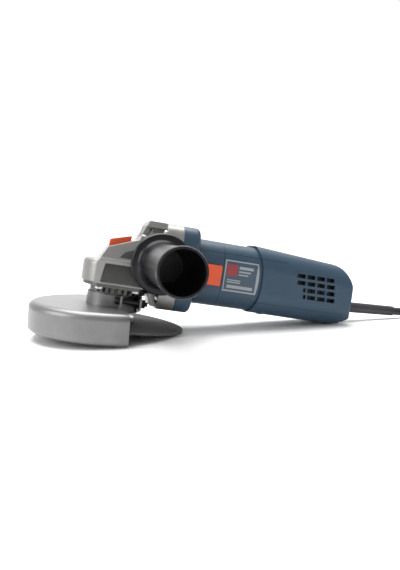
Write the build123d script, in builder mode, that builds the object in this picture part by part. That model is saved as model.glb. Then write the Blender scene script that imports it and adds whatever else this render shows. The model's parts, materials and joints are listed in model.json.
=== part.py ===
from build123d import *
import math
import os

os.makedirs("parts", exist_ok=True)

# Angle grinder for 5-inch discs, resting on a table on its disc, guard and rear cover.
# Everything is modelled in the tool's own axes, in millimetres: the spindle is the Z axis with
# the disc below, the motor is the X axis with the cord at +X, and the side handle points to -Y.
# The two axes meet at the origin. REST then leans the tool back onto the table.

TILT = 10.2            # lean of the motor axis, rear end low, degrees
REST_X = -63.5        # shifts that put the origin under the middle of the tool's box
REST_Y = 38.35
REST_Z = 65.01         # height of the gear centre above the table

# Disc, guard and clamping parts
DISC_R = 63.5
DISC_TOP = -53.0
DISC_T = 1.6
DISC_BORE_R = 11.15
GUARD_R = 71.5
GUARD_TOP = -39.2
GUARD_BOTTOM = -64.0
GUARD_LEAN = 4.35      # the shell leans on its collar, its front hanging low, degrees
SHEET = 1.2
GUARD_START = -82.0    # polar angle of the guard's near end, degrees
GUARD_SPAN = 180.0
NECK_R = 22.3
COLLAR_IN = 22.5
COLLAR_OUT = 24.0
COLLAR_TOP = -30.0
COLLAR_LOW = -43.0
CLAMP_Y = -29.5
CLAMP_Z = -33.4
LUG_LOW = -38.8
LUG_HIGH = -28.9

# Bevel gears
MODULE = 1.2
PINION_TEETH = 12
CROWN_TEETH = 38
FACE_WIDTH = 8.0
ADDENDUM = 0.75 * MODULE
DEDENDUM = 0.95 * MODULE
TOOTH_SHARE = 0.42     # tooth thickness as a share of the pitch
PRESSURE = math.radians(20)
PINION_CONE = math.atan(PINION_TEETH / CROWN_TEETH)
CROWN_CONE = math.pi / 2 - PINION_CONE
CONE_FAR = MODULE * CROWN_TEETH / 2 / math.sin(CROWN_CONE)
CONE_NEAR = CONE_FAR - FACE_WIDTH
CROWN_HUB_TOP = -5.0
CROWN_BACK = -13.6
LOCK_X = -8.6          # lock pin, and the circle of its four holes in the crown gear
LOCK_R = 2.0

# Spindle
THREAD_R = 7.0
SHOULDER_R = 8.4
BEARING_SEAT_R = 6.0
CROWN_SEAT_R = 4.5
TOP_JOURNAL_R = 3.0
FLANGE_TOP = -48.8
SPINDLE_END = -62.5

# Gear housing
HOUSING_BOTTOM = -21.0
NOSE_TOP = -1.5
REAR_FACE = 43.0
FLANGE_FRONT = 33.5
RIM_END = 47.4         # a rim on the rear flange reaches this far round the motor housing
RIM_IN = 66.4
RIM_IN_CORNER = 10.8
COLLAR_SIDE = 73.0
COLLAR_CORNER = 14.0
SCREW_YZ = 27.0
HANDLE_X = 31.0
HANDLE_Z = 2.3
SOCKET_R = 4.05

# Motor housing and motor
COLLAR_REAR = 62.3
GRIP_W = 56.0
GRIP_H_FRONT = 57.6
GRIP_H_REAR = 56.6
GRIP_CORNER = 19.0
GRIP_END = 124.0
SPIGOT_R = 25.3
SPIGOT_END = 150.0
FIELD_R = 22.5
BORE_R = 22.8
SHAFT_R = 5.0

# Rear cover
COVER_END = 212.5
SLEEVE_X = 211.0
COVER_WALL = 2.6
CORD_Z = -13.4
CORD_R = 3.75
SLEEVE_LEN = 58.0
SLEEVE_UP = 3.0        # the sleeve leaves the cover this many degrees above the motor axis

# Side handle
HANDLE_FLANGE = -45.5
HANDLE_END = -147.5
STUD_START = -23.5
STUD_END = -65.5

# Slide switch
THUMB_REAR = 85.0
THUMB_LEN = 16.0
THUMB_HIGH = 17.5
THUMB_Z = -0.5
ROD_Z = -5.0

REST = Location((REST_X, REST_Y, REST_Z), (0, TILT, 0))


def save(part, name, where=REST):
    part = part.moved(where)
    part.label = name
    export_step(part, f"parts/{name}.step")


def turned(points, axis):
    # Turned part: a closed profile in the XZ plane, swung once round the axis.
    with BuildPart() as body:
        with BuildSketch(Plane.XZ):
            with BuildLine():
                Polyline(*points, close=True)
            make_face()
        revolve(axis=axis)
    return body.part


def ring_z(r_in, r_out, z_low, z_high):
    return turned([(r_in, z_low), (r_out, z_low), (r_out, z_high), (r_in, z_high)], Axis.Z)


def ring_x(r_in, r_out, x_low, x_high):
    return turned([(x_low, r_in), (x_low, r_out), (x_high, r_out), (x_high, r_in)], Axis.X)


def ball_bearing(bore_r, out_r, width, plane, balls=8):
    # Deep-groove bearing as separate rings and balls; the plane's normal is its axis.
    wall = (out_r - bore_r) * 0.28
    track_r = (bore_r + out_r) / 2
    ball_r = (out_r - bore_r) / 2 - wall - 0.05
    with BuildPart() as bearing:
        with BuildSketch(plane):
            Circle(out_r)
            Circle(out_r - wall, mode=Mode.SUBTRACT)
            Circle(bore_r + wall)
            Circle(bore_r, mode=Mode.SUBTRACT)
        extrude(amount=width)
        with Locations(plane.offset(width / 2)):
            with PolarLocations(track_r, balls):
                Sphere(ball_r)
    return bearing.part


def pan_screw(head_r, head_h, shank_r, shank_len):
    # Pan-head screw along -Z with its bearing face at the origin and a cross recess.
    with BuildPart() as screw:
        Cylinder(head_r, head_h, align=(Align.CENTER, Align.CENTER, Align.MIN))
        fillet(screw.edges().group_by(Axis.Z)[-1], head_h * 0.4)
        Cylinder(shank_r, shank_len, align=(Align.CENTER, Align.CENTER, Align.MAX))
        with Locations((0, 0, head_h)):
            Box(head_r * 1.15, head_r * 0.28, head_h, mode=Mode.SUBTRACT)
            Box(head_r * 0.28, head_r * 1.15, head_h, mode=Mode.SUBTRACT)
    return screw.part


def coil_spring(radius, wire_r, height, turns):
    with BuildPart() as spring:
        with BuildLine():
            Helix(pitch=height / turns, height=height, radius=radius)
        with BuildSketch(Plane(origin=(radius, 0, 0), z_dir=(0, 1, 0))):
            Circle(wire_r)
        sweep(is_frenet=True)
    return spring.part


# ---------------------------------------------------------------- bevel gears

def bevel_tooth(teeth, cone):
    # Straight tooth between two cone distances; the gear's axis is Z with the apex at the origin.
    sections = []
    for distance in (CONE_FAR, CONE_NEAR):
        scale = distance / CONE_FAR
        along = Vector(math.sin(cone), 0, math.cos(cone)) * distance
        normal = Vector(math.cos(cone), 0, -math.sin(cone))
        corners = []
        for height in (-DEDENDUM, ADDENDUM):
            half = TOOTH_SHARE * math.pi * MODULE / 2 - height * math.tan(PRESSURE)
            if teeth < 20 and height < 0:
                half *= 1 + height / (MODULE * teeth / 2 / math.cos(cone))
            corners.append((half * scale, height * scale))
        (root, low), (tip, high) = corners
        outline = [(-root, low), (root, low), (tip, high), (-tip, high)]
        points = [along + Vector(0, side, 0) + normal * height for side, height in outline]
        sections.append(Wire.make_polygon(points, close=True))
    return Solid.make_loft(sections, ruled=True)


def root_point(cone, distance):
    # Point (radius, height) on the root cone, a little above the feet of the teeth.
    depth = (0.05 * MODULE - DEDENDUM) * distance / CONE_FAR
    radius = distance * math.sin(cone) + depth * math.cos(cone)
    return radius, distance * math.cos(cone) - depth * math.sin(cone)


def make_crown_gear():
    far_r, far_z = root_point(CROWN_CONE, CONE_FAR)
    near_r, near_z = root_point(CROWN_CONE, CONE_NEAR)
    with BuildPart() as gear:
        with BuildSketch(Plane.XZ):
            with BuildLine():
                Polyline((CROWN_SEAT_R, -CROWN_HUB_TOP), (near_r - 0.4, -CROWN_HUB_TOP), (near_r, near_z),
                         (far_r, far_z), (far_r, 11.0), (16.0, -CROWN_BACK - 1.0), (12.0, -CROWN_BACK),
                         (CROWN_SEAT_R, -CROWN_BACK), close=True)
            make_face()
        revolve(axis=Axis.Z)
        tooth = bevel_tooth(CROWN_TEETH, CROWN_CONE)
        for number in range(CROWN_TEETH):
            add(tooth.rotate(Axis.Z, (number + 0.5) * 360 / CROWN_TEETH))
        with BuildSketch(Plane.XY.offset(-CROWN_HUB_TOP - 1)):
            with PolarLocations(-LOCK_X, 4):
                Circle(LOCK_R + 0.4)
        extrude(amount=6.5, mode=Mode.SUBTRACT)
    return gear.part.moved(Location((0, 0, 0), (180, 0, 0)))


def make_pinion():
    far_r, far_z = root_point(PINION_CONE, CONE_FAR)
    near_r, near_z = root_point(PINION_CONE, CONE_NEAR)
    with BuildPart() as pinion:
        with BuildSketch(Plane.XZ):
            with BuildLine():
                Polyline((3.4, near_z), (near_r, near_z), (far_r, far_z), (6.6, far_z + 2.6),
                         (3.4, far_z + 2.6), close=True)
            make_face()
        revolve(axis=Axis.Z)
        tooth = bevel_tooth(PINION_TEETH, PINION_CONE)
        for number in range(PINION_TEETH):
            add(tooth.rotate(Axis.Z, number * 360 / PINION_TEETH))
        with BuildSketch(Plane.XY.offset(near_z - 1)):
            Circle(3.4)
        extrude(amount=14, mode=Mode.SUBTRACT)
    return pinion.part.moved(Location((0, 0, 0), (0, 90, 0)))


# ---------------------------------------------------------------- gear housing

DECK_FRONT = (-12.5, 9.9)
DECK_REAR = (11.8, 18.9)
DECK_SLOPE = (DECK_REAR[1] - DECK_FRONT[1]) / (DECK_REAR[0] - DECK_FRONT[0])


def deck_z(x):
    return DECK_FRONT[1] + (x - DECK_FRONT[0]) * DECK_SLOPE


def make_gear_housing():
    with BuildPart() as housing:
        # main body: side outline crossed with front outline
        with BuildSketch(Plane.XZ):
            with BuildLine():
                Polyline((-20, HOUSING_BOTTOM), (-20, -5), (-18.5, -1.4), DECK_FRONT, DECK_REAR,
                         (18.7, 36.5), (REAR_FACE, 36.5), (REAR_FACE, HOUSING_BOTTOM), close=True)
            make_face()
        extrude(amount=40, both=True)
        with BuildSketch(Plane.YZ.offset(-30)):
            with BuildLine():
                Polyline((-34, HOUSING_BOTTOM), (-35, -1), (-33.5, 1), (-24, 36.5), (24, 36.5), (33.5, 1),
                         (35, -1), (34, HOUSING_BOTTOM), close=True)
            make_face()
        extrude(amount=80, mode=Mode.INTERSECT)
        # shallow side panels
        for side in (-1, 1):
            with BuildSketch(Plane.XZ.offset(side * 33.3)):
                with BuildLine():
                    Polyline((-15.5, -19.5), (-13.2, -3.6), (20, -3.6), (20, -19.5), close=True)
                make_face()
                fillet(vertices(), 1.2)
            extrude(amount=side * 4, mode=Mode.SUBTRACT)
        # round nose over the crown gear
        with BuildSketch(Plane.XY.offset(HOUSING_BOTTOM)):
            Circle(31)
        extrude(amount=NOSE_TOP - HOUSING_BOTTOM)
        fillet(housing.edges().filter_by(GeomType.CIRCLE).group_by(Axis.Z)[-1], 4.0)
        # square rear flange that meets the motor housing
        with BuildSketch(Plane.YZ.offset(FLANGE_FRONT)):
            RectangleRounded(COLLAR_SIDE, COLLAR_SIDE, COLLAR_CORNER)
        extrude(amount=REAR_FACE - FLANGE_FRONT)
        # foot under the rear flange, the stop of the guard's lugs
        with BuildSketch(Plane.XZ):
            Polygon((25.2, -24.2), (FLANGE_FRONT, -24.2), (FLANGE_FRONT, -35), (29.2, -35), align=None)
        extrude(amount=21, both=True)
        # bosses for the side handle
        with BuildSketch(Plane.XZ.offset(-41)):
            with Locations((HANDLE_X, HANDLE_Z)):
                Circle(10.5)
        extrude(amount=41 - HANDLE_FLANGE)
        # room for the gears
        add(turned([(0, HOUSING_BOTTOM - 1), (25, HOUSING_BOTTOM - 1), (25, -5.4), (14.5, -3.2), (0, -3.2)],
                   Axis.Z), mode=Mode.SUBTRACT)
        with BuildSketch(Plane.YZ.offset(8.6)):
            Circle(9.6)
        extrude(amount=30, mode=Mode.SUBTRACT)
        with BuildSketch(Plane.YZ.offset(27.3)):
            Circle(13.0)
        extrude(amount=20, mode=Mode.SUBTRACT)
        with BuildSketch(Plane.XY.offset(-4)):
            Circle(5.0)
        extrude(amount=9.4, mode=Mode.SUBTRACT)
        # pocket of the lock button, with the pin's hole and the spring's seat
        with BuildSketch(Plane.XZ):
            with BuildLine():
                Polyline((-12.2, deck_z(-12.2) + 3), (-12.2, deck_z(-12.2) - 6), (7.6, deck_z(7.6) - 6),
                         (7.6, deck_z(7.6) + 3), close=True)
            make_face()
        extrude(amount=9.6, both=True, mode=Mode.SUBTRACT)
        with BuildSketch(Plane.XY.offset(-4)):
            with Locations((LOCK_X, 0)):
                Circle(LOCK_R + 0.05)
        extrude(amount=10, mode=Mode.SUBTRACT)
        with BuildSketch(Plane.XY.offset(1.5)):
            with Locations((LOCK_X, 0)):
                Circle(3.1)
        extrude(amount=8, mode=Mode.SUBTRACT)
        # air duct in the hump, with five slits in its sloping face
        with BuildSketch(Plane.XZ):
            with BuildLine():
                Polyline((18.2, 22), (22.4, 33.5), (REAR_FACE + 1, 33.5), (REAR_FACE + 1, 22), close=True)
            make_face()
        extrude(amount=20.5, both=True, mode=Mode.SUBTRACT)
        for slit_y in (-21, -10.5, 0, 10.5, 21):
            with BuildSketch(Plane.XZ.offset(slit_y)):
                with BuildLine():
                    Polyline((9.5, 22), (13.3, 32.5), (23, 32.5), (19.2, 22), close=True)
                make_face()
            extrude(amount=2.7, both=True, mode=Mode.SUBTRACT)
        # channels and holes of the four housing screws
        with BuildSketch(Plane.YZ.offset(5)):
            with GridLocations(2 * SCREW_YZ, 2 * SCREW_YZ, 2, 2):
                Circle(4.4)
        extrude(amount=FLANGE_FRONT - 5, mode=Mode.SUBTRACT)
        with BuildSketch(Plane.YZ.offset(FLANGE_FRONT - 1)):
            with GridLocations(2 * SCREW_YZ, 2 * SCREW_YZ, 2, 2):
                Circle(2.2)
        extrude(amount=20, mode=Mode.SUBTRACT)
        # threaded handle sockets, both sides
        for side in (-1, 1):
            with BuildSketch(Plane.XZ.offset(side * 22)):
                with Locations((HANDLE_X, HANDLE_Z)):
                    Circle(SOCKET_R)
            extrude(amount=side * 30, mode=Mode.SUBTRACT)
        # threaded holes for the bearing flange
        with BuildSketch(Plane.XY.offset(HOUSING_BOTTOM)):
            with GridLocations(30, 51, 2, 2):
                Circle(1.8)
        extrude(amount=9, mode=Mode.SUBTRACT)
        # rim round the front of the motor housing
        with BuildSketch(Plane.YZ.offset(REAR_FACE)):
            RectangleRounded(COLLAR_SIDE, COLLAR_SIDE, COLLAR_CORNER)
            RectangleRounded(RIM_IN, RIM_IN, RIM_IN_CORNER, mode=Mode.SUBTRACT)
        extrude(amount=RIM_END - REAR_FACE)
    return housing.part


def make_bearing_flange():
    with BuildPart() as flange:
        with BuildSketch(Plane.XY.offset(HOUSING_BOTTOM - 3)):
            Circle(29)
            with GridLocations(30, 51, 2, 2):
                Circle(5)
            Rectangle(30, 61)
        extrude(amount=3)
        with BuildSketch(Plane.XY.offset(-44)):
            Circle(NECK_R)
        extrude(amount=44 + HOUSING_BOTTOM - 3)
        with BuildSketch(Plane.XY.offset(HOUSING_BOTTOM)):
            Circle(17)
        extrude(amount=4.4)
        with BuildSketch(Plane.XY.offset(-28.6)):
            with PolarLocations(24, 23, start_angle=-132, angular_range=264):
                Rectangle(3.8, 2.6)
        extrude(amount=4.6)
        with BuildSketch(Plane.XY.offset(-45)):
            Circle(12)
        extrude(amount=17, mode=Mode.SUBTRACT)
        with BuildSketch(Plane.XY.offset(-45)):
            Circle(10)
        extrude(amount=25, mode=Mode.SUBTRACT)
        with BuildSketch(Plane.XY.offset(-25)):
            Circle(14)
        extrude(amount=20, mode=Mode.SUBTRACT)
        with BuildSketch(Plane.XY.offset(-30)):
            with GridLocations(30, 51, 2, 2):
                Circle(2.2)
        extrude(amount=12, mode=Mode.SUBTRACT)
    return flange.part


def make_flange_screws():
    screw = pan_screw(3.6, 2.4, 1.75, 11).moved(Location((0, 0, HOUSING_BOTTOM - 3), (180, 0, 0)))
    with BuildPart() as screws:
        with GridLocations(30, 51, 2, 2):
            add(screw)
    return screws.part


def make_housing_screws():
    screw = pan_screw(3.7, 2.4, 2.15, 22).moved(Location((FLANGE_FRONT, 0, 0), (0, -90, 0)))
    with BuildPart() as screws:
        with Locations(*[(0, y, z) for y in (-SCREW_YZ, SCREW_YZ) for z in (-SCREW_YZ, SCREW_YZ)]):
            add(screw)
    return screws.part


# ---------------------------------------------------------------- spindle lock

def make_lock_button():
    with BuildPart() as button:
        with BuildSketch(Plane.XZ):
            with BuildLine():
                Polyline((-11.6, 10.6), (-11.0, 16.4), (6.9, 21.6), (6.4, 16.6), (4.4, 15.6),
                         (-10.0, 10.9), close=True)
            make_face()
            fillet(vertices().group_by(Axis.Y)[-1], 0.8)
        extrude(amount=8.6, both=True)
        with BuildSketch(Plane.XY.offset(9.0)):
            with Locations((LOCK_X, 0)):
                Circle(2.9)
        extrude(amount=4)
        with BuildSketch(Plane.XY.offset(8)):
            with Locations((LOCK_X, 0)):
                Circle(LOCK_R)
        extrude(amount=6, mode=Mode.SUBTRACT)
    return button.part


def make_lock_pin():
    with BuildPart() as pin:
        with BuildSketch(Plane.XY.offset(-2.9)):
            with Locations((LOCK_X, 0)):
                Circle(LOCK_R)
        extrude(amount=16.9)
    return pin.part


# ---------------------------------------------------------------- spindle group

def make_spindle():
    return turned([(0, SPINDLE_END), (THREAD_R - 1, SPINDLE_END), (THREAD_R, SPINDLE_END + 1),
                   (THREAD_R, FLANGE_TOP), (SHOULDER_R, FLANGE_TOP), (SHOULDER_R, -25),
                   (BEARING_SEAT_R, -25), (BEARING_SEAT_R, CROWN_BACK), (CROWN_SEAT_R, CROWN_BACK),
                   (CROWN_SEAT_R, -4.8), (4.0, -4.8), (4.0, -3.8), (CROWN_SEAT_R, -3.8),
                   (CROWN_SEAT_R, -3.4), (TOP_JOURNAL_R, -3.4), (TOP_JOURNAL_R, 4.8), (0, 4.8)], Axis.Z)


def make_retaining_ring():
    with BuildPart() as clip:
        with BuildSketch(Plane.XY.offset(-4.75)):
            Circle(6.2)
            Circle(4.05, mode=Mode.SUBTRACT)
            with Locations((5, 0)):
                Rectangle(4, 3, mode=Mode.SUBTRACT)
        extrude(amount=0.9)
    return clip.part


def make_inner_flange():
    return turned([(THREAD_R + 0.05, FLANGE_TOP), (19, FLANGE_TOP), (19, DISC_TOP), (14, DISC_TOP),
                   (14, DISC_TOP + 0.6), (11.05, DISC_TOP + 0.6), (11.05, DISC_TOP - 1.4),
                   (THREAD_R + 0.05, DISC_TOP - 1.4)], Axis.Z)


def make_lock_nut():
    top = DISC_TOP - DISC_T
    with BuildPart() as nut:
        add(turned([(THREAD_R + 0.05, top - 6.2), (12, top - 6.2), (12, top - 4), (19, top - 4),
                    (19, top), (THREAD_R + 0.05, top)], Axis.Z))
        with BuildSketch(Plane.XY.offset(top - 4)):
            with PolarLocations(15, 2, start_angle=45):
                Circle(2.5)
        extrude(amount=3, mode=Mode.SUBTRACT)
    return nut.part


# ---------------------------------------------------------------- guard

def make_guard_shell():
    # Half-round pressed shell, turned about its own axis and then leaned on the collar.
    low = GUARD_BOTTOM
    edge = 6.0
    curl = 3.0
    with BuildPart() as shell:
        with BuildSketch(Plane.XZ):
            with BuildLine():
                Line((15, GUARD_TOP), (GUARD_R - edge, GUARD_TOP))
                CenterArc((GUARD_R - edge, GUARD_TOP - edge), edge, 0, 90)
                Line((GUARD_R, GUARD_TOP - edge), (GUARD_R, low + curl))
                CenterArc((GUARD_R - curl, low + curl), curl, -90, 90)
                Line((GUARD_R - curl, low), (GUARD_R - curl, low + SHEET))
                CenterArc((GUARD_R - curl, low + curl), curl - SHEET, -90, 90)
                Line((GUARD_R - SHEET, low + curl), (GUARD_R - SHEET, GUARD_TOP - edge))
                CenterArc((GUARD_R - edge, GUARD_TOP - edge), edge - SHEET, 0, 90)
                Line((GUARD_R - edge, GUARD_TOP - SHEET), (15, GUARD_TOP - SHEET))
                Line((15, GUARD_TOP - SHEET), (15, GUARD_TOP))
            make_face()
        revolve(axis=Axis.Z, revolution_arc=GUARD_SPAN)
    shell = shell.part.rotate(Axis.Z, GUARD_START - GUARD_SPAN)
    pivot = Axis((0, 0, GUARD_TOP), (0, 1, 0))
    with BuildPart() as leaned:
        add(shell.rotate(pivot, -GUARD_LEAN))
        add(ring_z(15, 28, GUARD_TOP - SHEET, GUARD_TOP).rotate(pivot, -GUARD_LEAN))
        # hole for the collar, and a notch under the clamp
        with BuildSketch(Plane.XY.offset(GUARD_TOP - 6)):
            Circle(COLLAR_OUT)
            with Locations((16, -26)):
                Rectangle(27.2, 30)
        extrude(amount=12, mode=Mode.SUBTRACT)
    return leaned.part


def make_guard_collar():
    with BuildPart() as collar:
        with BuildSketch(Plane.XY.offset(COLLAR_LOW)):
            Circle(COLLAR_OUT)
            Circle(COLLAR_IN, mode=Mode.SUBTRACT)
        extrude(amount=COLLAR_TOP - COLLAR_LOW)
        # gap between the lugs
        with BuildSketch(Plane.XY.offset(COLLAR_LOW)):
            with Locations((12, -20)):
                Rectangle(14.6, 18)
        extrude(amount=COLLAR_TOP - COLLAR_LOW, mode=Mode.SUBTRACT)
        # two lugs, bent outwards
        for x_low, y_high in ((3.1, -22.9), (19.3, -12.5)):
            with BuildSketch(Plane.XY.offset(LUG_LOW)):
                with Locations((x_low + 0.8, (y_high - 34.5) / 2)):
                    Rectangle(1.6, y_high + 34.5)
            extrude(amount=LUG_HIGH - LUG_LOW)
        with BuildSketch(Plane.YZ):
            with Locations((CLAMP_Y, CLAMP_Z)):
                Circle(2.2)
        extrude(amount=30, mode=Mode.SUBTRACT)
        with BuildSketch(Plane.XY.offset(-45)):
            Circle(COLLAR_IN)
        extrude(amount=20, mode=Mode.SUBTRACT)
    return collar.part


def make_clamp_screw():
    return pan_screw(2.9, 4.8, 2.0, 23).moved(Location((3.1, CLAMP_Y, CLAMP_Z), (0, -90, 0)))


def make_clamp_nut():
    with BuildPart() as nut:
        with BuildSketch(Plane.YZ.offset(20.9)):
            with Locations((CLAMP_Y, CLAMP_Z)):
                RegularPolygon(4.0, 6)
                Circle(2.05, mode=Mode.SUBTRACT)
        extrude(amount=3.2)
    return nut.part


# ---------------------------------------------------------------- side handle

def make_side_handle():
    with BuildPart() as handle:
        with BuildSketch(Plane.XY.offset(HANDLE_Z)):
            with BuildLine():
                Polyline((HANDLE_X + 4, HANDLE_FLANGE), (HANDLE_X + 17, HANDLE_FLANGE),
                         (HANDLE_X + 24, HANDLE_FLANGE - 1))
                Spline((HANDLE_X + 24, HANDLE_FLANGE - 1), (HANDLE_X + 25, HANDLE_FLANGE - 2.6),
                       (HANDLE_X + 24, HANDLE_FLANGE - 4.4))
                Spline((HANDLE_X + 24, HANDLE_FLANGE - 4.4), (HANDLE_X + 19.4, HANDLE_FLANGE - 6.0),
                       (HANDLE_X + 16.8, HANDLE_FLANGE - 13.0), (HANDLE_X + 16.3, HANDLE_FLANGE - 28.0),
                       (HANDLE_X + 16.3, HANDLE_END + 30), (HANDLE_X + 16.9, HANDLE_END + 2))
                Line((HANDLE_X + 16.9, HANDLE_END + 2), (HANDLE_X + 16.4, HANDLE_END))
                Line((HANDLE_X + 16.4, HANDLE_END), (HANDLE_X + 14.9, HANDLE_END))
                Line((HANDLE_X + 14.9, HANDLE_END), (HANDLE_X + 13.2, HANDLE_FLANGE - 24))
                Line((HANDLE_X + 13.2, HANDLE_FLANGE - 24), (HANDLE_X, HANDLE_FLANGE - 24))
                Line((HANDLE_X, HANDLE_FLANGE - 24), (HANDLE_X, STUD_END))
                Line((HANDLE_X, STUD_END), (HANDLE_X + 4, STUD_END))
                Line((HANDLE_X + 4, STUD_END), (HANDLE_X + 4, HANDLE_FLANGE))
            make_face()
        revolve(axis=Axis((HANDLE_X, 0, HANDLE_Z), (0, 1, 0)))
    return handle.part


def make_handle_stud():
    with BuildPart() as stud:
        with BuildSketch(Plane.XZ.offset(-STUD_START)):
            with Locations((HANDLE_X, HANDLE_Z)):
                Circle(4.0)
        extrude(amount=STUD_START - STUD_END)
    return stud.part


# ---------------------------------------------------------------- motor housing

def grip_body(grow, x_low, x_high):
    # The grip's outer form, a rounded square that tapers slightly, grown by a given amount.
    share = 1 / (GRIP_END - REAR_FACE)
    with BuildPart() as body:
        for x in (x_low, x_high):
            height = GRIP_H_FRONT + (GRIP_H_REAR - GRIP_H_FRONT) * (x - REAR_FACE) * share
            with BuildSketch(Plane.YZ.offset(x)):
                RectangleRounded(GRIP_W + 2 * grow, height + 2 * grow, GRIP_CORNER + grow)
        loft()
    return body.part


def make_motor_housing():
    with BuildPart() as housing:
        with BuildSketch(Plane.YZ.offset(RIM_END)):
            RectangleRounded(COLLAR_SIDE, COLLAR_SIDE, COLLAR_CORNER)
        extrude(amount=COLLAR_REAR - RIM_END)
        fillet(housing.faces().sort_by(Axis.X)[-1].edges(), 4)
        with BuildSketch(Plane.YZ.offset(REAR_FACE)):
            RectangleRounded(RIM_IN - 0.4, RIM_IN - 0.4, RIM_IN_CORNER - 0.2)
        extrude(amount=RIM_END - REAR_FACE)
        add(grip_body(0, REAR_FACE, GRIP_END))
        with BuildSketch(Plane.YZ.offset(GRIP_END)):
            Circle(SPIGOT_R)
        extrude(amount=SPIGOT_END - GRIP_END)
        # fan chamber, field core bore, bearing wall
        with BuildSketch(Plane.YZ.offset(REAR_FACE)):
            Circle(31.5)
        extrude(amount=15.5, mode=Mode.SUBTRACT)
        with BuildSketch(Plane.YZ.offset(REAR_FACE)):
            Circle(24)
        extrude(amount=18.8, mode=Mode.SUBTRACT)
        with BuildSketch(Plane.YZ.offset(REAR_FACE)):
            Circle(BORE_R)
        extrude(amount=138.4 - REAR_FACE, mode=Mode.SUBTRACT)
        with BuildSketch(Plane.YZ.offset(138)):
            Circle(12.5)
        extrude(amount=20, mode=Mode.SUBTRACT)
        with BuildSketch(Plane.YZ.offset(141.5)):
            Circle(BORE_R)
            Circle(15, mode=Mode.SUBTRACT)
        extrude(amount=20, mode=Mode.SUBTRACT)
        with BuildSketch(Plane.YZ.offset(137)):
            with PolarLocations(19, 8):
                Circle(2.8)
        extrude(amount=10, mode=Mode.SUBTRACT)
        # windows of the brush holders
        with BuildSketch(Plane.XY.offset(-30)):
            with Locations((121, 0)):
                Rectangle(9.4, 12.4)
        extrude(amount=60, mode=Mode.SUBTRACT)
        # slot of the switch and channel of its rod
        with BuildSketch(Plane.XZ.offset(26)):
            with Locations((72, ROD_Z)):
                Rectangle(15, 7)
        extrude(amount=4, mode=Mode.SUBTRACT)
        with BuildSketch(Plane.XZ.offset(24.2)):
            with Locations((106, ROD_Z)):
                Rectangle(90, 7)
        extrude(amount=2.4, mode=Mode.SUBTRACT)
        # screw holes
        with BuildSketch(Plane.YZ.offset(REAR_FACE)):
            with GridLocations(2 * SCREW_YZ, 2 * SCREW_YZ, 2, 2):
                Circle(2.2)
        extrude(amount=14, mode=Mode.SUBTRACT)
        with BuildSketch(Plane.XY.offset(-27)):
            with Locations((134, 0)):
                Circle(1.7)
        extrude(amount=6, mode=Mode.SUBTRACT)
    return housing.part


def make_name_plate():
    with BuildPart() as plate:
        add(grip_body(0.4, 84, 122))
        add(grip_body(0, 83, 123), mode=Mode.SUBTRACT)
        with BuildSketch(Plane.XZ.offset(20)):
            with BuildLine():
                Line((88, -12.5), (87.5, 14.5))
                Line((87.5, 14.5), (117.4, 14.5))
                ThreePointArc((117.4, 14.5), (119.4, 0), (118.0, -12.5))
                Line((118.0, -12.5), (88, -12.5))
            make_face()
        extrude(amount=20, mode=Mode.INTERSECT)
    return plate.part


def make_switch_thumb():
    with BuildPart() as thumb:
        with BuildSketch(Plane.XZ.offset(28.2)):
            with Locations((THUMB_REAR - THUMB_LEN / 2, THUMB_Z)):
                RectangleRounded(THUMB_LEN, THUMB_HIGH, 1.2)
        extrude(amount=3.2)
        fillet(thumb.faces().sort_by(Axis.Y)[0].edges(), 0.8)
        with BuildSketch(Plane.XZ.offset(26.2)):
            with Locations((74.5, ROD_Z)):
                Rectangle(8, 5.6)
        extrude(amount=2)
    return thumb.part


def make_switch_rod():
    with BuildPart() as rod:
        with BuildSketch(Plane.XZ.offset(24.6)):
            with Locations((117.75, ROD_Z)):
                Rectangle(93.5, 5)
        extrude(amount=1.6)
        with BuildSketch(Plane.XZ.offset(21)):
            with Locations((163.3, ROD_Z)):
                Rectangle(2.4, 5)
        extrude(amount=3.6)
    return rod.part


# ---------------------------------------------------------------- rear cover

def cover_body(inset):
    # The cover's outer form shrunk by inset: lofted sections, then a rounded rear end in side and plan view.
    sections = ((104, 57.6, 58.6, 0.0), (116, 60.0, 60.0, 0.4), (COVER_END, 57.6, 54.6, -3.4))
    shrink = 1 - inset / 28
    with BuildPart() as body:
        for pair in (sections[:2], sections[1:]):
            for x, width, height, middle in pair:
                with BuildSketch(Plane.YZ.offset(x)):
                    with Locations((0, middle)):
                        RectangleRounded(width - 2 * inset, height - 2 * inset, 20 - inset)
            loft()
        rear = [(192, 25.4), (199.5, 22.6), (204.2, 17.0), (207.6, 10.5), (209.8, 3.8), (211.6, -5.4),
                (COVER_END, -13.4), (211.4, -20.0), (208.8, -24.0), (204.0, -27.0), (196.0, -29.9)]
        rear = [(x - inset, z * shrink) for x, z in rear]
        with BuildSketch(Plane.XZ):
            with BuildLine():
                Spline(*rear, tangents=((1, -0.1), (-1, -0.25)))
                Polyline(rear[-1], (190, -36), (100, -36), (100, 34), (190, 34), rear[0])
            make_face()
        extrude(amount=40, both=True, mode=Mode.INTERSECT)
        with BuildSketch(Plane.XY.offset(-40)):
            with Locations((COVER_END - inset - 60, 0)):
                RectangleRounded(120, 2 * (31 - inset), 11)
        extrude(amount=80, mode=Mode.INTERSECT)
    return body.part


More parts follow.
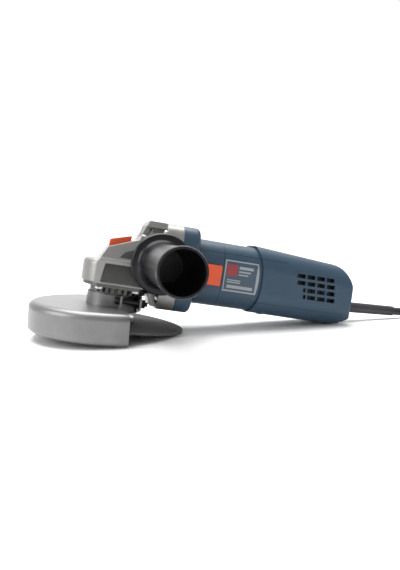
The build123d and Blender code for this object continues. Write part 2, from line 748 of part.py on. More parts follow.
def make_rear_cover():
    with BuildPart() as cover:
        add(cover_body(0))
        add(cover_body(COVER_WALL), mode=Mode.SUBTRACT)
        # curved front seam
        with BuildSketch(Plane.XZ):
            with BuildLine():
                ThreePointArc((114.5, 34), (122.4, 1), (115.4, -34))
                Polyline((115.4, -34), (80, -34), (80, 34), (114.5, 34))
            make_face()
        extrude(amount=40, both=True, mode=Mode.SUBTRACT)
        # room for the grip's end
        add(grip_body(0.25, 100, GRIP_END + 0.5), mode=Mode.SUBTRACT)
        # vents, both sides
        with BuildSketch(Plane.XZ):
            for row in range(4):
                for column in range(4):
                    short = row > 1 and column == 0
                    length = 2.4 if short else 7.8
                    centre = 157.8 + column * 9.4 + row * 0.9 + (2.7 if short else 0)
                    with Locations((centre, 10.2 - row * 6.0)):
                        Rectangle(length, 3.5)
        extrude(amount=40, both=True, mode=Mode.SUBTRACT)
        # hole of the cord sleeve
        with BuildSketch(Plane.YZ.offset(200)):
            with Locations((0, CORD_Z)):
                Circle(5.6)
        extrude(amount=20, mode=Mode.SUBTRACT)
        # posts of the cord clamp
        with BuildSketch(Plane.XY.offset(-29.2)):
            with Locations((192, -8.5), (192, 8.5)):
                Circle(3.2)
        extrude(amount=18.7)
        with BuildSketch(Plane.XY.offset(-24)):
            with Locations((192, -8.5), (192, 8.5)):
                Circle(1.6)
        extrude(amount=15.6, mode=Mode.SUBTRACT)
        # hole of the cover screw
        with BuildSketch(Plane.XY.offset(-33)):
            with Locations((134, 0)):
                Circle(1.9)
        extrude(amount=6, mode=Mode.SUBTRACT)
        with BuildSketch(Plane.XY.offset(-33)):
            with Locations((134, 0)):
                Circle(3.4)
        extrude(amount=3.5, mode=Mode.SUBTRACT)
    return cover.part


def make_cord_sleeve():
    # Rubber sleeve: ribbed taper outside, collar inside the cover, then the cord's jacket.
    with BuildPart() as sleeve:
        add(turned([(-24, 0), (-24, CORD_R), (-7.4, CORD_R), (-7.4, 6.6), (-4.6, 6.6), (-4.6, 5.25),
                    (SLEEVE_LEN, 4.6), (SLEEVE_LEN, 0)], Axis.X))
    return sleeve.part.moved(SLEEVE)


SLEEVE = Location((SLEEVE_X, 0, CORD_Z), (0, -SLEEVE_UP, 0))


def make_cord_clamp():
    with BuildPart() as clamp:
        with BuildSketch(Plane.XY.offset(-10.5)):
            with Locations((192, 0)):
                RectangleRounded(7, 24, 2)
                with Locations((0, -8.5), (0, 8.5)):
                    Circle(1.7, mode=Mode.SUBTRACT)
        extrude(amount=2.6)
    return clamp.part


def make_clamp_screws():
    screw = pan_screw(2.8, 1.8, 1.55, 11).moved(Location((0, 0, -7.9)))
    with BuildPart() as screws:
        with Locations((192, -8.5, 0), (192, 8.5, 0)):
            add(screw)
    return screws.part


# ---------------------------------------------------------------- motor

def make_armature_shaft():
    return turned([(9.6, 0), (9.6, 2.4), (15.0, 2.4), (15.0, 3.4), (26.0, 3.4), (26.0, SHAFT_R),
                   (138.6, SHAFT_R), (138.6, 4.0), (146.6, 4.0), (146.6, 0)], Axis.X)


def make_pinion_nut():
    with BuildPart() as nut:
        with BuildSketch(Plane.YZ.offset(11.0)):
            RegularPolygon(4.3, 6)
            Circle(2.45, mode=Mode.SUBTRACT)
        extrude(amount=3.4)
    return nut.part


def slot_bars(grow):
    with BuildPart() as bars:
        with BuildSketch(Plane.YZ.offset(68 - grow)):
            with PolarLocations(11.4, 12):
                Rectangle(5.6, 2.6)
        extrude(amount=32 + 2 * grow)
    return bars.part


def make_armature_core():
    with BuildPart() as core:
        add(ring_x(SHAFT_R, 15.6, 68, 100))
        add(slot_bars(0), mode=Mode.SUBTRACT)
    return core.part


def make_armature_windings():
    with BuildPart() as windings:
        add(slot_bars(0.5))
        for x_low, x_high in ((61.5, 67.9), (100.1, 107)):
            add(turned([(x_low, 7), (x_low, 12), (x_low + 2, 14.6), (x_high - 0.6, 14.6), (x_high, 13.6),
                        (x_high, 7)], Axis.X))
    return windings.part


def make_commutator():
    with BuildPart() as commutator:
        add(ring_x(SHAFT_R, 11, 111, 130))
        with BuildSketch(Plane.YZ.offset(112)):
            with PolarLocations(10.8, 24):
                Rectangle(1.2, 0.4)
        extrude(amount=19, mode=Mode.SUBTRACT)
    return commutator.part


def make_fan():
    with BuildPart() as fan:
        add(turned([(46, SHAFT_R), (46, 8.5), (54, 11), (54.6, 29), (56.2, 29), (56.2, SHAFT_R)], Axis.X))
        with BuildSketch(Plane.YZ.offset(46.5)):
            with PolarLocations(19.8, 15):
                Rectangle(18, 1.3, rotation=18)
        extrude(amount=8.6)
    return fan.part


def make_field_core():
    with BuildPart() as core:
        add(ring_x(16.4, FIELD_R, 64, 104))
        add(field_sectors(17.2, 21.2, 63, 105, 40), mode=Mode.SUBTRACT)
    return core.part


def field_sectors(r_in, r_out, x_low, x_high, half_angle):
    # Two ring sectors, above and below the shaft.
    across = 30 * math.sin(math.radians(half_angle))
    rise = 30 * math.cos(math.radians(half_angle))
    with BuildPart() as sectors:
        with BuildSketch(Plane.YZ.offset(x_low)):
            Circle(r_out)
            Circle(r_in, mode=Mode.SUBTRACT)
            for side in (-1, 1):
                Polygon((0, 0), (side * across, rise), (side * 40, rise), (side * 40, -rise),
                        (side * across, -rise), align=None, mode=Mode.SUBTRACT)
        extrude(amount=x_high - x_low)
    return sectors.part


def make_brush_holders():
    with BuildPart() as holders:
        with BuildSketch(Plane.XY.offset(13)):
            with Locations((121, 0)):
                Rectangle(9, 12)
        extrude(amount=14)
        with BuildSketch(Plane.XY.offset(12)):
            with Locations((121, 0)):
                Rectangle(6.3, 9.3)
        extrude(amount=14, mode=Mode.SUBTRACT)
        mirror(about=Plane.XY)
    return holders.part


def make_brushes():
    with BuildPart() as brushes:
        with BuildSketch(Plane.XY.offset(11.1)):
            with Locations((121, 0)):
                Rectangle(6.0, 9.0)
        extrude(amount=9)
        mirror(about=Plane.XY)
    return brushes.part


def make_brush_springs():
    spring = coil_spring(2.2, 0.3, 4.9, 4)
    with BuildPart() as springs:
        with Locations((121, 0, 20.6)):
            add(spring)
        with Locations((121, 0, -25.5)):
            add(spring)
    return springs.part


def make_power_switch():
    with BuildPart() as switch:
        with BuildSketch(Plane.XZ.offset(10)):
            with Locations((168, -4)):
                Rectangle(26, 17)
        extrude(amount=13.8)
        with BuildSketch(Plane.XZ.offset(20.5)):
            with Locations((161.5, -5)):
                Rectangle(11, 6.4)
        extrude(amount=4, mode=Mode.SUBTRACT)
    return switch.part


def make_capacitor():
    with BuildPart() as capacitor:
        with BuildSketch(Plane.XY.offset(-10)):
            with Locations((168, 8)):
                RectangleRounded(26, 15, 2)
        extrude(amount=17)
    return capacitor.part


# ---------------------------------------------------------------- cord

# Routes of the lead and of the cord's tail on the table, chosen by hand, in the finished frame.
LEAD_ROUTE = [(199.28, 38.35, 7.19), (210.22, 38.35, 5.8), (221.62, 39.38, 4.4), (232.92, 41.68, 3.9),
              (244.22, 42.88, 3.85)]
TAIL_ROUTE = [(300.62, -31.02, 3.9), (293.62, -43.32, 4.4), (286.22, -55.52, 6.6), (279.22, -66.92, 8.9),
              (273.72, -76.12, 9.5)]
COIL_CENTRE = (259.2, 2.3)
COIL_IN = 26.2
COIL_OUT = 56.4
COIL_HIGH = 15.2
PLUG_LEN = 36.0
PIN_R = 2.4
PIN_ROOT_R = 1.9       # the pins are waisted inside the plug
PIN_LEN = 19.0
PIN_SPACING = 19.0


def corner_radii(points):
    radii = []
    for before, here, after in zip(points, points[1:], points[2:]):
        run_in = Vector(*here) - Vector(*before)
        run_out = Vector(*after) - Vector(*here)
        turn = math.radians(run_in.get_angle(run_out))
        radii.append(0.45 * min(run_in.length, run_out.length) / math.tan(turn / 2))
    return radii


def cord_tube(points):
    radii = corner_radii(points)
    print("cord radii", [round(radius, 1) for radius in radii])
    with BuildPart() as tube:
        with BuildLine() as path:
            FilletPolyline(*points, radius=radii)
        with BuildSketch(Plane(origin=points[0], z_dir=path.line % 0)):
            Circle(CORD_R)
        sweep()
    return tube.part


def plug_place():
    # The plug lies at the end of the tail, its pins along the tail's last run.
    before, end = Vector(*TAIL_ROUTE[-2]), Vector(*TAIL_ROUTE[-1])
    heading = math.degrees(math.atan2(end.Y - before.Y, end.X - before.X))
    return Location(TAIL_ROUTE[-1], (0, 0, heading))


def make_plug_body():
    # Flat two-pin plug: a ribbed neck that widens into a rounded body.
    sizes = ((0, 11, 11, 5), (9, 13, 13, 6), (17, 30, 18, 8.5), (33, 35, 19, 9), (PLUG_LEN, 33, 17, 8))
    with BuildPart() as body:
        for (x_low, *low), (x_high, *high) in zip(sizes, sizes[1:]):
            for x, (width, height, corner) in ((x_low, low), (x_high, high)):
                with BuildSketch(Plane.YZ.offset(x)):
                    RectangleRounded(width, height, corner)
            loft()
        with BuildSketch(Plane.YZ.offset(20)):
            with Locations((-PIN_SPACING / 2, 0), (PIN_SPACING / 2, 0)):
                Circle(PIN_ROOT_R)
        extrude(amount=20, mode=Mode.SUBTRACT)
    return body.part.moved(plug_place())


def make_plug_pins():
    with BuildPart() as pins:
        with BuildSketch(Plane.YZ.offset(20)):
            with Locations((-PIN_SPACING / 2, 0), (PIN_SPACING / 2, 0)):
                Circle(PIN_ROOT_R)
        extrude(amount=PLUG_LEN - 20)
        with BuildSketch(Plane.YZ.offset(PLUG_LEN)):
            with Locations((-PIN_SPACING / 2, 0), (PIN_SPACING / 2, 0)):
                Circle(PIN_R)
        extrude(amount=PIN_LEN)
        fillet(pins.faces().filter_by(Axis.X).group_by(Axis.X)[-1].edges(), 1.2)
    return pins.part.moved(plug_place())


def make_cord_coil():
    with BuildPart() as coil:
        with BuildSketch(Plane.XZ):
            with Locations(((COIL_IN + COIL_OUT) / 2, COIL_HIGH / 2)):
                RectangleRounded(COIL_OUT - COIL_IN, COIL_HIGH, CORD_R)
        revolve(axis=Axis.Z)
    return coil.part.moved(Location((*COIL_CENTRE, 0)))


save(make_gear_housing(), "gear_housing")
save(make_bearing_flange(), "bearing_flange")
save(make_flange_screws(), "bearing_flange_screws")
save(make_housing_screws(), "gear_housing_screws")
save(make_lock_button(), "spindle_lock_button")
save(make_lock_pin(), "spindle_lock_pin")
save(coil_spring(2.45, 0.3, 6.8, 5).moved(Location((LOCK_X, 0, 1.85))), "spindle_lock_spring")
save(make_spindle(), "spindle")
save(make_crown_gear(), "crown_gear")
save(make_retaining_ring(), "retaining_ring")
save(ring_z(TOP_JOURNAL_R + 0.02, 5.0, -3.1, 5.0), "spindle_needle_bearing")
save(ball_bearing(BEARING_SEAT_R + 0.02, 14, 8, Plane.XY.offset(-24.97)), "spindle_ball_bearing")
save(ring_z(BEARING_SEAT_R + 0.05, 8.2, -16.9, CROWN_BACK - 0.05), "spindle_spacer")
save(ring_z(SHOULDER_R + 0.05, 11.95, -32, -28.1), "spindle_seal")
save(make_inner_flange(), "inner_flange")
save(make_lock_nut(), "lock_nut")
save(ring_z(DISC_BORE_R, DISC_R, DISC_TOP - DISC_T, DISC_TOP), "cutting_disc")
save(make_guard_shell(), "guard_shell")
save(make_guard_collar(), "guard_collar")
save(make_clamp_screw(), "guard_clamp_screw")
save(make_clamp_nut(), "guard_clamp_nut")
save(make_side_handle(), "side_handle")
save(make_handle_stud(), "handle_stud")
save(make_motor_housing(), "motor_housing")
save(make_name_plate(), "name_plate")
save(make_switch_thumb(), "switch_thumb")
save(make_switch_rod(), "switch_rod")
save(make_rear_cover(), "rear_cover")
save(make_cord_clamp(), "cord_clamp")
save(make_clamp_screws(), "cord_clamp_screws")
save(pan_screw(3.2, 1.8, 1.65, 4.6).moved(Location((134, 0, -29.5), (180, 0, 0))), "rear_cover_screw")
save(make_armature_shaft(), "armature_shaft")
save(make_pinion(), "pinion")
save(make_pinion_nut(), "pinion_nut")
save(make_armature_core(), "armature_core")
save(make_armature_windings(), "armature_windings")
save(make_commutator(), "commutator")
save(make_fan(), "cooling_fan")
save(ball_bearing(SHAFT_R + 0.02, 13, 8, Plane.YZ.offset(27.5)), "front_bearing")
save(ring_x(11, 12.95, 35.7, 36.9), "front_bearing_clip")
save(ball_bearing(4.02, 11, 7, Plane.YZ.offset(139)), "rear_bearing")
save(ring_x(11.05, 12.45, 138.6, 148), "rear_bearing_cup")
save(ring_x(21, 31.4, 56.8, 58.4), "air_baffle")
save(make_field_core(), "field_core")
save(field_sectors(17.4, 21.0, 59.5, 109.5, 38), "field_coils")
save(make_brush_holders(), "brush_holders")
save(make_brushes(), "carbon_brushes")
save(make_brush_springs(), "brush_springs")
save(make_power_switch(), "power_switch")
save(make_capacitor(), "capacitor")
save(make_cord_sleeve(), "cord_sleeve")
save(cord_tube(LEAD_ROUTE), "power_cord", Location())
save(make_cord_coil(), "cord_coil", Location())
save(cord_tube(TAIL_ROUTE), "cord_tail", Location())
save(make_plug_body(), "plug_body", Location())
save(make_plug_pins(), "plug_pins", Location())
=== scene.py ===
import json
import math

import bmesh
import bpy
from mathutils import Matrix, Vector


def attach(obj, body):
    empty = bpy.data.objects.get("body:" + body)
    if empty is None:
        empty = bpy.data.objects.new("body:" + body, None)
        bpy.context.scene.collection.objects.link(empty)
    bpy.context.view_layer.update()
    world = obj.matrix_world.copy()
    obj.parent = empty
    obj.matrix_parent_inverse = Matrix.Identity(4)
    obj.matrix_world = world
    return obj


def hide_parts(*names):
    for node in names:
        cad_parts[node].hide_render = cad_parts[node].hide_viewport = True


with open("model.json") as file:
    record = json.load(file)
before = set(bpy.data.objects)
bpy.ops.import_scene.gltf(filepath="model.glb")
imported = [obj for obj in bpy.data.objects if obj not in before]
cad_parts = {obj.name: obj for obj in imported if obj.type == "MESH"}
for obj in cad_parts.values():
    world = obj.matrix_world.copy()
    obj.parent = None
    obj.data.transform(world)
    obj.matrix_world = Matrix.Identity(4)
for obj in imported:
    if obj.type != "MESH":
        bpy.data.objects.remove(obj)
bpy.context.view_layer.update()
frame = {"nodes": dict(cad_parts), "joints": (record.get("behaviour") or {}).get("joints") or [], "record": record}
NODES = frame["nodes"]
JOINTS = {joint["name"]: joint for joint in frame["joints"]}
MM = 0.001

# Sizes in mm along the tool's own axes.
WAIST_Z = 1.0          # the gear housing is widest at its waist
WAIST_HALF = 33.5
SIDE_LEAN = 9.5 / 35.5  # how far each side leans inwards for each mm above the waist
RIDGE_HALF = 34.4      # the ridge stands just outside the waist
SUNK = 0.6             # plates on the sides start this deep inside the alloy
PANEL_FLOOR = 33.25    # bottom of the side recesses
PANEL_FACE = 33.6
DUCT_HALF = 20.0
# Dark screens in the rear cover's vents are painted shade for the shade inside the cover.
SHADE_SCREEN_BACK = 23.7     # vent screens, just inside the rear cover's walls
SHADE_SCREEN_FACE = 24.0
SHADE_SCREEN_RIBS = 14
SHADE_SCREEN_PITCH = 3.1
DISC_RIM_IN = 0.0605   # the disc's worn rim, in metres
DISC_RIM_OUT = 0.0632

# The tool's own axes in the row frame: X along the motor, Z along the spindle, origin at the gears.
GEAR_CENTRE = Vector(JOINTS["spindle_spin"]["pos_m"])
UP = Vector(JOINTS["spindle_spin"]["axis"])
BACK = Vector(JOINTS["armature_spin"]["axis"])
TOOL = Matrix.Translation(GEAR_CENTRE) @ Matrix((BACK, (0, 1, 0), UP)).transposed().to_4x4()


# ---------------------------------------------------------------- camera, light, stage

def make_camera():
    data = bpy.data.cameras.new("camera")
    data.sensor_width = 36
    data.lens = 33.67
    camera = bpy.data.objects.new("camera", data)
    bpy.context.scene.collection.objects.link(camera)
    right = Vector((0.98005, -0.19798, -0.01753)).normalized()
    ahead = Vector((0.19551, 0.97617, -0.09417)).normalized()
    turn = Matrix((right, right.cross(ahead), -ahead)).transposed().to_4x4()
    camera.matrix_world = Matrix.Translation((-0.08712, -0.43385, 0.08522)) @ turn
    bpy.context.scene.camera = camera


def area_light(name, place, target, size, power):
    data = bpy.data.lights.new(name, "AREA")
    data.shape = "RECTANGLE"
    data.size, data.size_y = size
    data.energy = power
    light = bpy.data.objects.new(name, data)
    bpy.context.scene.collection.objects.link(light)
    light.location = place
    light.rotation_euler = (Vector(target) - Vector(place)).to_track_quat("-Z", "Y").to_euler()


def make_stage():
    # Pale floor that curves up into a backdrop far behind.
    mesh = bpy.data.meshes.new("floor")
    form = bmesh.new()
    profile = [(-2.0, 0.0), (1.6, 0.0)]
    bend = 0.8
    angles = [step * math.pi / 24 for step in range(1, 13)]
    profile += [(1.6 + math.sin(angle) * bend, bend - math.cos(angle) * bend) for angle in angles]
    profile += [(2.4, 3.0)]
    rows = [[form.verts.new((x, y, z)) for y, z in profile] for x in (-4.0, 4.0)]
    for left, right, right_next, left_next in zip(rows[0], rows[1], rows[1][1:], rows[0][1:]):
        form.faces.new((left, right, right_next, left_next))
    for face in form.faces:
        face.smooth = True
    form.to_mesh(mesh)
    floor = bpy.data.objects.new("floor", mesh)
    bpy.context.scene.collection.objects.link(floor)
    material = bpy.data.materials.new("stage_white")
    material.use_nodes = True
    shader = material.node_tree.nodes["Principled BSDF"]
    shader.inputs["Base Color"].default_value = (0.93, 0.93, 0.93, 1)
    shader.inputs["Roughness"].default_value = 0.6
    shader.inputs["Specular IOR Level"].default_value = 0.2
    mesh.materials.append(material)

    world = bpy.data.worlds.new("studio")
    bpy.context.scene.world = world
    world.use_nodes = True
    world.node_tree.nodes["Background"].inputs["Color"].default_value = (1, 1, 1, 1)
    world.node_tree.nodes["Background"].inputs["Strength"].default_value = 0.62
    area_light("overhead", (-0.15, 0.35, 1.3), (0, 0.05, 0), (1.4, 0.9), 27)
    area_light("left", (-1.3, -0.2, 0.6), (-0.1, 0, 0.05), (0.7, 0.7), 9)
    area_light("backdrop_wash", (0, 1.1, 1.6), (0, 1.9, 0.3), (2.4, 0.6), 30)
    bpy.context.scene.view_settings.view_transform = "Standard"


# ---------------------------------------------------------------- materials

class Paint:
    """A procedural material: a Principled shader and helpers that feed it."""

    def __init__(self, name, colour, roughness, metallic=0.0):
        self.material = bpy.data.materials.new(name)
        self.material.use_nodes = True
        self.tree = self.material.node_tree
        self.shader = self.tree.nodes["Principled BSDF"]
        self.shader.inputs["Base Color"].default_value = (*colour, 1)
        self.shader.inputs["Roughness"].default_value = roughness
        self.shader.inputs["Metallic"].default_value = metallic
        self.colour = colour
        self.roughness = roughness
        self.place = self.tree.nodes.new("ShaderNodeTexCoord").outputs["Object"]
        self.tool_place = None

    def node(self, kind, **inputs):
        made = self.tree.nodes.new(kind)
        for key, value in inputs.items():
            socket = made.inputs[key.replace("_", " ")]
            if isinstance(value, bpy.types.NodeSocket):
                self.tree.links.new(value, socket)
            else:
                socket.default_value = value
        return made

    def link(self, source, target):
        self.tree.links.new(source, target)

    def noise(self, scale, detail=3.0):
        return self.node("ShaderNodeTexNoise", Vector=self.place, Scale=scale, Detail=detail,
                         Roughness=0.6).outputs["Fac"]

    def tool_axes(self):
        # Position along the tool's own axes, in metres.
        if self.tool_place is None:
            shift = self.node("ShaderNodeVectorMath", Vector=self.place)
            shift.operation = "SUBTRACT"
            shift.inputs[1].default_value = GEAR_CENTRE
            place = []
            for axis in (BACK, Vector((0, 1, 0)), UP):
                along = self.tree.nodes.new("ShaderNodeVectorMath")
                along.operation = "DOT_PRODUCT"
                self.link(shift.outputs["Vector"], along.inputs[0])
                along.inputs[1].default_value = axis
                place.append(along.outputs["Value"])
            self.tool_place = place
        return self.tool_place

    def math(self, operation, first, second=0.0):
        made = self.tree.nodes.new("ShaderNodeMath")
        made.operation = operation
        for socket, value in zip(made.inputs, (first, second)):
            if isinstance(value, bpy.types.NodeSocket):
                self.link(value, socket)
            else:
                socket.default_value = value
        return made.outputs["Value"]

    def patch(self, centre, half):
        # 1 inside a rectangle on the tool's side, given in mm along and up the tool, and 0 outside.
        along, _, up = self.tool_axes()
        inside = []
        for value, middle, reach in ((along, centre[0], half[0]), (up, centre[1], half[1])):
            off = self.math("ABSOLUTE", self.math("SUBTRACT", value, middle * MM))
            inside.append(self.math("LESS_THAN", off, reach * MM))
        return self.math("MULTIPLY", *inside)

    def ramp(self, value, low, high, out_low=0.0, out_high=1.0):
        return self.node("ShaderNodeMapRange", Value=value, From_Min=low, From_Max=high, To_Min=out_low,
                         To_Max=out_high).outputs["Result"]

    def mix(self, factor, first, second):
        made = self.tree.nodes.new("ShaderNodeMix")
        made.data_type = "RGBA"
        self.link(factor, made.inputs["Factor"])
        for socket, value in zip((made.inputs[6], made.inputs[7]), (first, second)):
            if isinstance(value, bpy.types.NodeSocket):
                self.link(value, socket)
            else:
                socket.default_value = (*value, 1)
        return made.outputs[2]

    def vary(self, scale, amount, detail=4.0):
        # Colour drifts a little, lighter and darker, across the surface.
        light = tuple(min(1.0, c * (1 + amount)) for c in self.colour)
        dark = tuple(c * (1 - amount) for c in self.colour)
        colour = self.mix(self.ramp(self.noise(scale, detail), 0.3, 0.7), dark, light)
        self.link(colour, self.shader.inputs["Base Color"])
        return colour

    def gloss(self, scale, spread):
        value = self.ramp(self.noise(scale, 4), 0.3, 0.7, self.roughness - spread, self.roughness + spread)
        self.link(value, self.shader.inputs["Roughness"])

    def bump(self, height, strength, distance, rounding=0.0):
        made = self.node("ShaderNodeBump", Height=height, Strength=strength, Distance=distance)
        if rounding:
            edge = self.node("ShaderNodeBevel", Radius=rounding)
            edge.samples = 6
            self.link(edge.outputs["Normal"], made.inputs["Normal"])
        self.link(made.outputs["Normal"], self.shader.inputs["Normal"])


def cast_alloy():
    paint = Paint("cast_alloy", (0.27, 0.266, 0.256), 0.36, 0.65)
    paint.vary(60, 0.08)
    paint.gloss(90, 0.06)
    paint.bump(paint.noise(1800, 3), 0.35, 0.0002, rounding=0.0009)
    return paint.material


def moulded_blue():
    paint = Paint("moulded_blue", (0.026, 0.056, 0.09), 0.42)
    paint.shader.inputs["Specular IOR Level"].default_value = 0.38
    colour = paint.vary(35, 0.05)
    # dark lines: behind the switch, along the panel that crosses the cover's seam, and low on the side
    dark_line = (0.008, 0.016, 0.026)
    lines = (((86.3, 0.0), (0.3, 30.0)), ((104.0, 19.4), (40.0, 0.28)), ((160.0, -19.0), (44.0, 0.22)))
    for centre, half in lines:
        colour = paint.mix(paint.patch(centre, half), colour, dark_line)
    paint.link(colour, paint.shader.inputs["Base Color"])
    paint.gloss(120, 0.05)
    paint.bump(paint.noise(2600, 2), 0.22, 0.00012, rounding=0.0010)
    return paint.material


def plain(name, colour, roughness, metallic=0.0, grain=1500, rounding=0.0004, specular=0.5):
    paint = Paint(name, colour, roughness, metallic)
    paint.shader.inputs["Specular IOR Level"].default_value = specular
    paint.vary(80, 0.06)
    paint.gloss(700, 0.02)
    paint.bump(paint.noise(grain, 2), 0.15, 0.0001, rounding=rounding)
    return paint.material


def printed_label():
    # Blue film with a pale border, a red block and pale bars that stand for the printing.
    paint = Paint("label", (0.036, 0.066, 0.098), 0.34)
    colour = paint.vary(80, 0.04)
    pale = (0.27, 0.29, 0.31)
    red = (0.26, 0.022, 0.03)
    frame_mask = paint.math("SUBTRACT", 1.0, paint.patch((102.8, 1.0), (14.0, 12.3)))
    colour = paint.mix(frame_mask, colour, pale)
    colour = paint.mix(paint.patch((94.6, 6.0), (4.6, 5.0)), colour, red)
    bars = (((107.0, 8.8), (6.4, 1.2)), ((106.0, 5.4), (5.4, 0.7)), ((105.0, 2.8), (4.4, 0.6)),
            ((103.0, -8.2), (11.6, 1.3)), ((97.0, -2.6), (6.0, 0.5)), ((97.0, -4.4), (6.0, 0.5)))
    for centre, half in bars:
        colour = paint.mix(paint.patch(centre, half), colour, pale)
    paint.link(colour, paint.shader.inputs["Base Color"])
    return paint.material


def bonded_grit():
    # Resin-bonded grit: coarse speckle, a woven glass mesh and a worn, paler rim.
    paint = Paint("abrasive", (0.045, 0.042, 0.04), 0.78)
    along, across, _ = paint.tool_axes()
    squares = paint.math("ADD", paint.math("POWER", along, 2.0), paint.math("POWER", across, 2.0))
    radius = paint.math("SQRT", squares)
    speckle = paint.ramp(paint.noise(900, 5), 0.35, 0.7)
    colour = paint.mix(speckle, (0.018, 0.017, 0.016), (0.045, 0.042, 0.04))
    rim = paint.ramp(radius, DISC_RIM_IN, DISC_RIM_OUT)
    colour = paint.mix(rim, colour, (0.08, 0.077, 0.073))
    paint.link(colour, paint.shader.inputs["Base Color"])
    weave = []
    for value in (along, across):
        weave.append(paint.math("SINE", paint.math("MULTIPLY", value, 2200.0)))
    height = paint.math("ADD", paint.math("MULTIPLY", weave[0], weave[1]), paint.noise(1400, 4))
    paint.bump(height, 0.5, 0.0003)
    return paint.material


# ---------------------------------------------------------------- pieces made here

def tool_piece(name, form, material):
    # A mesh given in mm along the tool's axes becomes a piece on the tool's body.
    mesh = bpy.data.meshes.new(name)
    bmesh.ops.recalc_face_normals(form, faces=form.faces)
    form.transform(TOOL @ Matrix.Scale(MM, 4))
    form.to_mesh(mesh)
    form.free()
    made = bpy.data.objects.new(name, mesh)
    bpy.context.scene.collection.objects.link(made)
    mesh.materials.append(material)
    mesh.shade_smooth()
    mesh.set_sharp_from_angle(angle=math.radians(32))
    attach(made, "tool")


def add_plate(form, outline, low, high, edge):
    # A flat plate parallel to the tool's side, with a rounded outer edge; outline is in mm along and up.
    lower = [form.verts.new((x, low, z)) for x, z in outline]
    face = form.faces.new(lower)
    made = bmesh.ops.extrude_face_region(form, geom=[face])
    raised = [item for item in made["geom"] if isinstance(item, bmesh.types.BMVert)]
    bmesh.ops.translate(form, verts=raised, vec=(0, high - low, 0))
    rim = [e for e in form.edges if all(v in raised for v in e.verts)]
    bmesh.ops.bevel(form, geom=rim, offset=edge, segments=3, affect="EDGES", profile=0.5)


def rounded_outline(x_low, x_high, z_low, z_high, radius, steps=5):
    outline = []
    corners = ((x_high - radius, z_high - radius, 0), (x_low + radius, z_high - radius, 90),
               (x_low + radius, z_low + radius, 180), (x_high - radius, z_low + radius, 270))
    for x, z, start in corners:
        for step in range(steps + 1):
            angle = math.radians(start + 90 * step / steps)
            outline.append((x + radius * math.cos(angle), z + radius * math.sin(angle)))
    return outline


def make_side_panels(material):
    # Dark painted panels at the bottom of the gear housing's side recesses.
    outline = [(-14.9, -19.0), (-12.8, -4.1), (19.6, -4.1), (19.6, -19.0)]
    for side, name in ((-1, "near"), (1, "far")):
        form = bmesh.new()
        add_plate(form, outline, side * PANEL_FLOOR, side * PANEL_FACE, 0.12)
        tool_piece("side_panel_" + name, form, material)


def make_side_facets(dark, bright):
    # On each side: a thin dark facet on the slope above the waist, and a bright ridge along the waist.
    facet = [(-2.5, 2.4), (1.5, 7.4), (9.5, 10.4), (20.0, 13.2), (20.0, 2.4)]
    ridge = [(-16.6, -2.6), (-16.2, -1.9), (20.0, 1.2), (20.0, 0.4)]
    parts = (("facet", facet, 0.12, WAIST_HALF, SIDE_LEAN, dark, "black_plastic"),
             ("ridge", ridge, 0.45, RIDGE_HALF, 0.0, bright, "cast_alloy"))
    for side, name in ((-1, "near"), (1, "far")):
        for part, outline, raised, reach, lean, material, slot in parts:
            form = bmesh.new()
            add_plate(form, outline, 0, raised + SUNK, 0.1)
            for vert in form.verts:
                inwards = max(0.0, vert.co.z - WAIST_Z) * lean
                vert.co.y = side * (reach - inwards - SUNK + vert.co.y)
            tool_piece("side_%s_%s" % (part, name), form, material)


def make_duct_shade_sheet(material):
    # Dark sheet behind the slits of the hump, inside its air duct: painted shade that stands in for the shade
    # inside the duct.
    form = bmesh.new()
    add_plate(form, [(20.4, 22.5), (24.2, 33.0), (25.4, 33.0), (21.6, 22.5)], -DUCT_HALF, DUCT_HALF, 0.2)
    tool_piece("duct_shade_sheet", form, material)


def make_vent_shade_screens(material):
    # Dark ribbed screens inside the vents of the rear cover: painted shade that stands in for the shade inside the
    # vents.
    for side, name in ((-1, "near"), (1, "far")):
        form = bmesh.new()
        add_plate(form, rounded_outline(151, 196, -12, 15, 2), side * SHADE_SCREEN_BACK, side * SHADE_SCREEN_FACE, 0.1)
        for step in range(SHADE_SCREEN_RIBS):
            x = 153 + step * SHADE_SCREEN_PITCH
            add_plate(form, rounded_outline(x, x + 1.1, -11, 14, 0.4, 2), side * 23.95, side * 24.4, 0.1)
        tool_piece("vent_shade_screen_" + name, form, material)


# ---------------------------------------------------------------- mains cord

LEAD_ROUTE = [(199.28, 38.35, 7.19), (210.22, 38.35, 5.8), (221.62, 39.38, 4.4), (232.92, 41.68, 3.9),
              (244.22, 42.88, 3.85)]
TAIL_ROUTE = [(300.62, -31.02, 3.9), (293.62, -43.32, 4.4), (286.22, -55.52, 6.6), (279.22, -66.92, 8.9),
              (273.72, -76.12, 9.5)]
COIL_CENTRE = (259.2, 2.3)
CORD_R = 3.75


def coil_turns():
    # Two flat layers, inwards and then outwards, and a last turn that comes down outside them.
    stages = [(0.0, 45.0, 3.8), (2.0, 30.0, 3.8), (2.5, 31.5, 11.4), (5.0, 50.2, 11.4), (5.3, 52.4, 11.4),
              (5.95, 52.4, 11.4), (6.25, 52.4, 3.8), (6.3333, 52.4, 3.8)]
    per_turn = 16
    count = round(stages[-1][0] * per_turn)
    points = []
    for step in range(count + 1):
        turn = stages[-1][0] * step / count
        for (t_low, r_low, z_low), (t_high, r_high, z_high) in zip(stages, stages[1:]):
            if t_low <= turn <= t_high:
                part = (turn - t_low) / (t_high - t_low)
                radius = r_low + (r_high - r_low) * part
                height = z_low + (z_high - z_low) * part
        angle = math.radians(90 - 360 * turn)
        x = COIL_CENTRE[0] + radius * math.cos(angle)
        y = COIL_CENTRE[1] + radius * math.sin(angle)
        points.append((x, y, height))
    return points


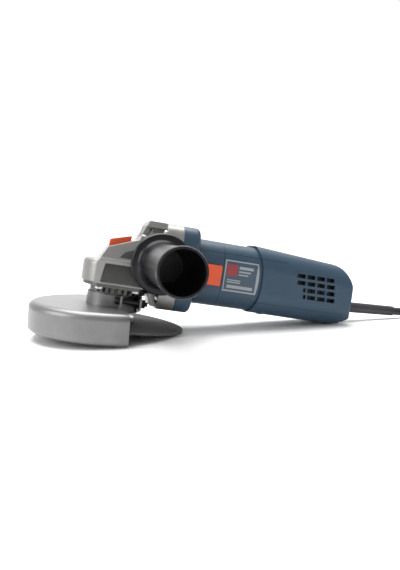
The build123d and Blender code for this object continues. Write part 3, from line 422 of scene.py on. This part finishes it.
def make_cord(material):
    points = LEAD_ROUTE + coil_turns() + TAIL_ROUTE
    data = bpy.data.curves.new("mains_cord", "CURVE")
    data.dimensions = "3D"
    spline = data.splines.new("NURBS")
    spline.points.add(len(points) - 1)
    for point, (x, y, z) in zip(spline.points, points):
        point.co = (x * MM, y * MM, z * MM, 1)
    spline.order_u = 3
    spline.use_endpoint_u = True
    spline.resolution_u = 4
    data.bevel_depth = CORD_R * MM
    data.bevel_resolution = 5
    data.use_fill_caps = True
    cord = bpy.data.objects.new("mains_cord", data)
    bpy.context.scene.collection.objects.link(cord)
    data.materials.append(material)
    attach(cord, "tool")
    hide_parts("power_cord", "cord_coil", "cord_tail")


def paint_nodes():
    by_slot = {
        "cast_alloy": cast_alloy(),
        "blue_plastic": moulded_blue(),
        "orange_plastic": plain("orange_plastic", (0.66, 0.075, 0.013), 0.42),
        "black_plastic": plain("black_plastic", (0.005, 0.0045, 0.007), 0.3, specular=0.28),
        "label": printed_label(),
        "guard_steel": plain("guard_steel", (0.19, 0.19, 0.193), 0.38, 0.7),
        "steel": plain("steel", (0.55, 0.55, 0.54), 0.3, 1.0),
        "black_steel": plain("black_steel", (0.03, 0.03, 0.03), 0.4, 0.6),
        "bearing_steel": plain("bearing_steel", (0.7, 0.7, 0.71), 0.18, 1.0),
        "abrasive": bonded_grit(),
        "copper": plain("copper", (0.55, 0.2, 0.08), 0.35, 1.0),
        "lamination": plain("lamination", (0.22, 0.22, 0.23), 0.5, 0.8),
        "brass": plain("brass", (0.6, 0.42, 0.16), 0.35, 1.0),
        "carbon": plain("carbon", (0.03, 0.03, 0.032), 0.6),
        "fan_plastic": plain("fan_plastic", (0.05, 0.05, 0.05), 0.5),
        "cable_rubber": plain("cable_rubber", (0.032, 0.032, 0.037), 0.5),
        "seal_rubber": plain("seal_rubber", (0.02, 0.02, 0.02), 0.6),
        "yellow_film": plain("yellow_film", (0.6, 0.36, 0.04), 0.35),
    }
    for part in frame["record"]["subparts"]:
        mesh = NODES[part["node"]].data
        mesh.materials.clear()
        mesh.materials.append(by_slot[part["material_slot"]])
        mesh.shade_smooth()
        mesh.set_sharp_from_angle(angle=math.radians(32))
    # The bearing flange gets a darker copy of the cast alloy: painted shade for the flange, which sits in shadow
    # under the gear housing.
    painted_shade_alloy = plain("flange_alloy_painted_shade", (0.12, 0.118, 0.114), 0.42, 0.6)
    NODES["bearing_flange"].data.materials[0] = painted_shade_alloy
    return by_slot


make_camera()
make_stage()
SLOTS = paint_nodes()
make_side_panels(plain("panel_grey", (0.05, 0.05, 0.048), 0.4, 0.4))
make_side_facets(plain("facet_grey", (0.06, 0.06, 0.058), 0.4, 0.4), SLOTS["cast_alloy"])
make_duct_shade_sheet(SLOTS["black_plastic"])
make_vent_shade_screens(SLOTS["black_plastic"])
make_cord(SLOTS["cable_rubber"])
